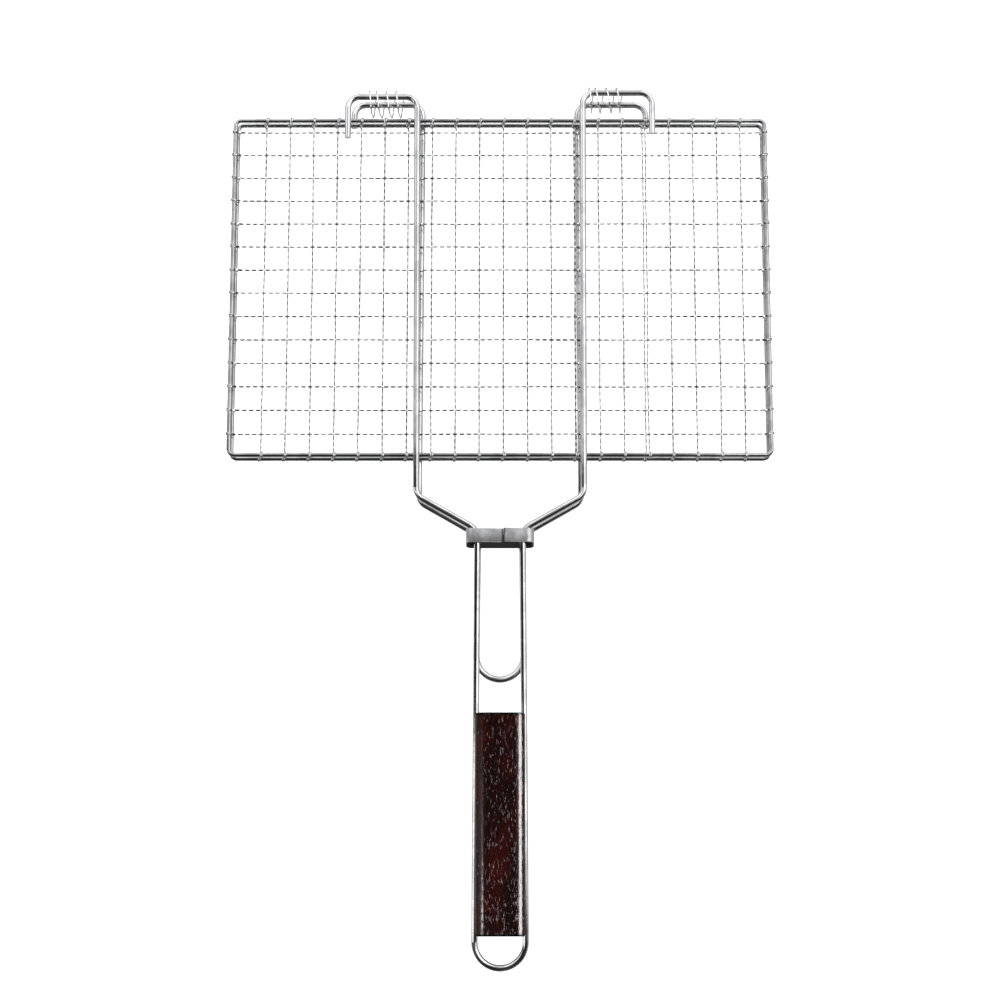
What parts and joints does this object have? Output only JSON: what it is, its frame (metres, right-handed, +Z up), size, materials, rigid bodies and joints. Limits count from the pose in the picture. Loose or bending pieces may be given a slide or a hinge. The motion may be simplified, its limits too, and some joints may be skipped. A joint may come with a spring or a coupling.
{
  "type": "grill basket",
  "caption": "Flat folding wire grill basket: hinged square-mesh leaves, a sliding lock ring, and a long looped wire handle with a wooden grip.",
  "frame": {"origin": "under the middle of the closed basket's box, on the table", "axes": "+X to the right seen from the handle, +Y from the handle to the hinge, +Z up from the table through the leaves"},
  "size_m": [0.3716, 0.6057, 0.0239],
  "materials": {
    "polished_wire": "polished",
    "mesh_wire": "drawn wire",
    "strap_steel": "satin",
    "dark_wood": "lacquered dark red-brown"
  },
  "bodies": {
    "lower_leaf": {"lower_handle_rod": "polished_wire", "lower_rim": "polished_wire", "lower_mesh_lengthwise": "mesh_wire", "lower_mesh_crosswise": "mesh_wire"},
    "upper_leaf": {"upper_handle_rod": "polished_wire", "upper_rim": "polished_wire", "upper_mesh_lengthwise": "mesh_wire", "upper_mesh_crosswise": "mesh_wire", "wood_grip": "dark_wood"},
    "lock_ring": {"lock_ring": "strap_steel"},
    "hinge_coil_left": {"hinge_coil_left": "mesh_wire"},
    "hinge_coil_right": {"hinge_coil_right": "mesh_wire"}
  },
  "joints": [
    {"name": "leaf_hinge", "type": "hinge", "parent": "lower_leaf", "child": "upper_leaf", "pos_m": [0, 0.2909, 0.00387], "axis": [-1, 0, 0], "range_deg": [0, 180]},
    {"name": "ring_slide", "type": "slide", "parent": "upper_leaf", "child": "lock_ring", "axis": [0, -1, 0], "range_m": [0, 0.111]},
    {"name": "coil_slide_left", "type": "slide", "parent": "upper_leaf", "child": "hinge_coil_left", "axis": [1, 0, 0], "range_m": [-0.0025, 0.0045]},
    {"name": "coil_slide_right", "type": "slide", "parent": "upper_leaf", "child": "hinge_coil_right", "axis": [1, 0, 0], "range_m": [0, 0.006]}
  ]
}
